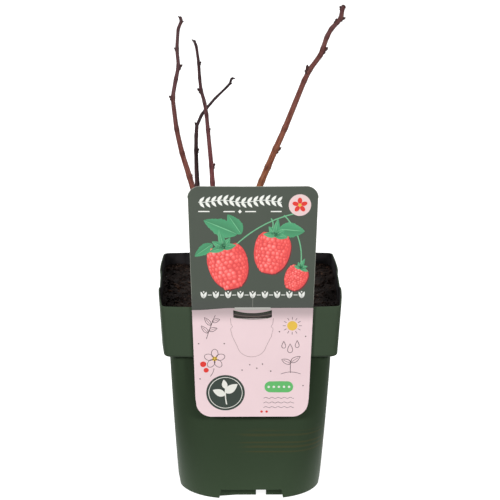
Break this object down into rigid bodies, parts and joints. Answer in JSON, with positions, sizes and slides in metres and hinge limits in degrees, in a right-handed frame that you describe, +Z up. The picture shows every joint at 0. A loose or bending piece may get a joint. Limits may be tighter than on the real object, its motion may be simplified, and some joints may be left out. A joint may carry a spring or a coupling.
{
  "type": "raspberry cane in a pot",
  "caption": "Bare raspberry canes standing in a square plastic pot of peat, with a folded plastic plant label hooked over the pot's rim.",
  "frame": {"origin": "on the surface that the pot stands on, under the middle of the pot", "axes": "+Z up, -Y to the front, where the label hangs, +X to the right seen from the front"},
  "size_m": [0.146, 0.1468, 0.3969],
  "materials": {
    "pot": "satin",
    "peat": "matte",
    "label": "satin",
    "cane_bark": "satin",
    "cane_bark_dark": "satin"
  },
  "bodies": {
    "root": {"pot": "pot", "soil": "peat", "label": "label", "cane_left": "cane_bark", "cane_dark": "cane_bark_dark", "shoot_dark": "cane_bark_dark", "cane_middle": "cane_bark", "cane_right": "cane_bark"}
  },
  "joints": []
}
